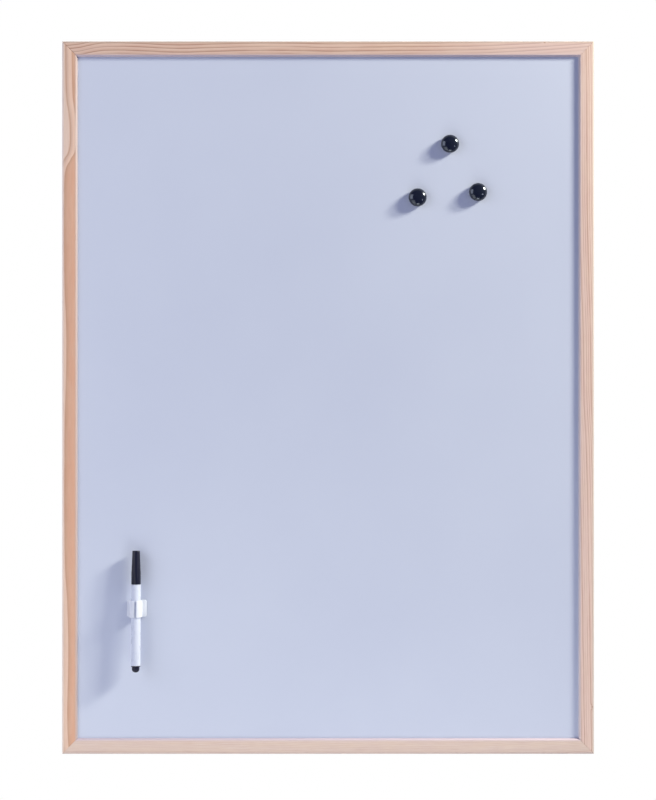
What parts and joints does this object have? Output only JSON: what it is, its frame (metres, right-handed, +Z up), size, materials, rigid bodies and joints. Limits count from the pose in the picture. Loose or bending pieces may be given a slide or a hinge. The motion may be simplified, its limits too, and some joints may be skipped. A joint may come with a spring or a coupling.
{
  "type": "magnetic memo board",
  "caption": "Wall-hung magnetic memo board: a mitred wood frame round a lacquered steel panel, with button magnets and a capped marker in a clip.",
  "frame": {"origin": "on the wall plane, behind the middle of the board", "axes": "seen from the front, +X goes to the right and +Z up; the writing face looks along -Y, and +Y goes into the wall"},
  "size_m": [0.598, 0.0316, 0.801],
  "materials": {
    "pine": "pale pine under a thin matt varnish",
    "lacquered_steel": "satin pale blue-grey lacquer",
    "hardboard": "raw hardboard",
    "liner": "greyish backing film",
    "zinc_steel": "bright zinc plate",
    "black_gloss": "polished black",
    "ferrite": "dull dark grey",
    "white_plastic": "satin white",
    "black_plastic": "satin black",
    "felt": "ink-soaked felt",
    "fibre": "ink-soaked fibre",
    "foam": "white adhesive foam"
  },
  "bodies": {
    "board": {"rail_top": "pine", "rail_right": "pine", "rail_bottom": "pine", "rail_left": "pine", "steel_face": "lacquered_steel", "hardboard_core": "hardboard", "back_liner": "liner", "v_nail_bottom_left_outer": "zinc_steel", "v_nail_bottom_left_inner": "zinc_steel", "v_nail_top_left_outer": "zinc_steel", "v_nail_top_left_inner": "zinc_steel", "v_nail_top_right_outer": "zinc_steel", "v_nail_top_right_inner": "zinc_steel", "v_nail_bottom_right_outer": "zinc_steel", "v_nail_bottom_right_inner": "zinc_steel", "hanger_left": "zinc_steel", "hanger_right": "zinc_steel", "hanger_screw_left_a": "zinc_steel", "hanger_screw_left_b": "zinc_steel", "hanger_screw_right_a": "zinc_steel", "hanger_screw_right_b": "zinc_steel", "clip_pad": "foam", "marker_clip": "white_plastic"},
    "magnet_1": {"magnet_cap_1": "black_gloss", "magnet_disc_1": "ferrite"},
    "magnet_2": {"magnet_cap_2": "black_gloss", "magnet_disc_2": "ferrite"},
    "magnet_3": {"magnet_cap_3": "black_gloss", "magnet_disc_3": "ferrite"},
    "marker": {"marker_barrel": "white_plastic", "end_plug": "black_plastic", "ink_reservoir": "fibre", "nib_holder": "black_plastic", "marker_nib": "felt"},
    "cap": {"marker_cap": "black_plastic"}
  },
  "joints": [
    {"name": "magnet_1_pull", "type": "slide", "parent": "board", "child": "magnet_1", "axis": [0, -1, 0], "range_m": [0, 0.03]},
    {"name": "magnet_2_pull", "type": "slide", "parent": "board", "child": "magnet_2", "axis": [0, -1, 0], "range_m": [0, 0.03]},
    {"name": "magnet_3_pull", "type": "slide", "parent": "board", "child": "magnet_3", "axis": [0, -1, 0], "range_m": [0, 0.03]},
    {"name": "marker_slide", "type": "slide", "parent": "board", "child": "marker", "axis": [0, 0.0384, 0.9993], "range_m": [-0.0178, 0.0805]},
    {"name": "cap_pull", "type": "slide", "parent": "marker", "child": "cap", "axis": [0, 0.0384, 0.9993], "range_m": [0, 0.026]}
  ]
}
